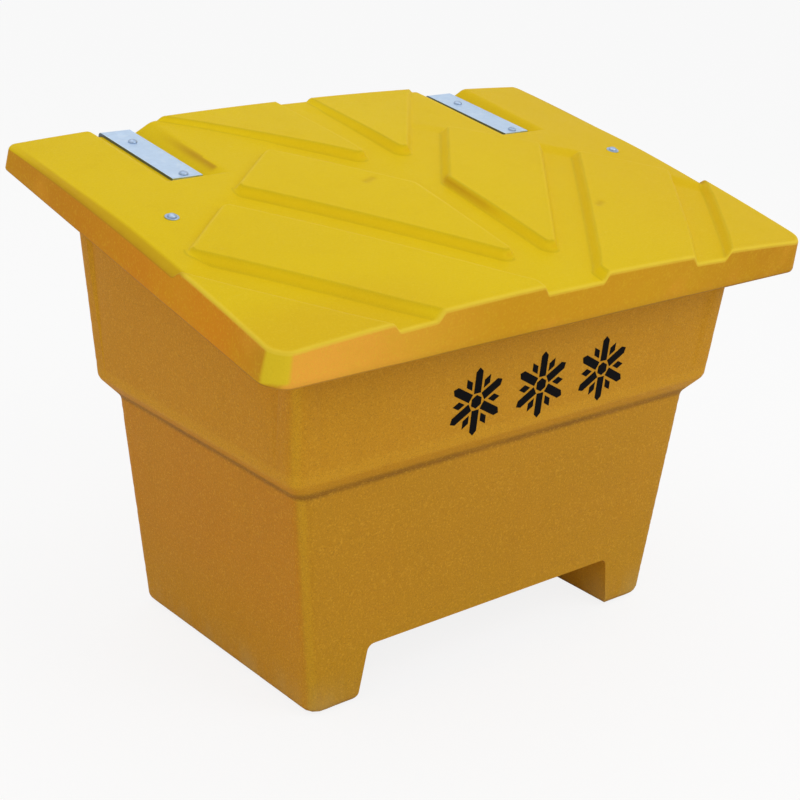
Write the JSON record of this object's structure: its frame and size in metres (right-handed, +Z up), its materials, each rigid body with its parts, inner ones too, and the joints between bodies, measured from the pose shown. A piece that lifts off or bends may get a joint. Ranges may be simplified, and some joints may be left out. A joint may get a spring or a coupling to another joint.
{
  "type": "grit salt bin",
  "caption": "Free-standing roadside grit bin: tapered moulded tub with a fork channel under it and a sloping domed lid on steel strap hinges.",
  "frame": {"origin": "on the ground under the middle of the whole bin, in the fork channel", "axes": "+X to the right seen from the front, +Y towards the hinges at the back, +Z up"},
  "size_m": [1.2, 0.8177, 0.8963],
  "materials": {
    "tub_plastic": "moulded polyethylene, fine grain, ochre yellow",
    "lid_plastic": "moulded polyethylene, sun-faded yellow, satin",
    "galvanised_steel": "hot-dip galvanised, dull",
    "zinc_plated_steel": "zinc plated",
    "buffer_rubber": "black rubber, matt"
  },
  "bodies": {
    "bin": {"tub": "tub_plastic", "hinge_leaf_right": "galvanised_steel", "hinge_leaf_left": "galvanised_steel", "hinge_pin_right": "zinc_plated_steel", "hinge_pin_left": "zinc_plated_steel", "leaf_bolts": "zinc_plated_steel", "backing_plate_right": "galvanised_steel", "backing_plate_left": "galvanised_steel", "leaf_washers": "zinc_plated_steel", "leaf_nuts": "zinc_plated_steel"},
    "lid_assembly": {"lid": "lid_plastic", "hinge_strap_right": "galvanised_steel", "hinge_strap_left": "galvanised_steel", "strap_bolts": "zinc_plated_steel", "strap_washers": "zinc_plated_steel", "strap_nuts": "zinc_plated_steel", "rest_screws": "zinc_plated_steel", "rest_washers": "zinc_plated_steel", "rest_buffers": "buffer_rubber", "rest_nuts": "zinc_plated_steel"}
  },
  "joints": [
    {"name": "lid_hinge", "type": "hinge", "parent": "bin", "child": "lid_assembly", "pos_m": [0, 0.39923, 0.81502], "axis": [-1, 0, 0], "range_deg": [0, 105]}
  ]
}
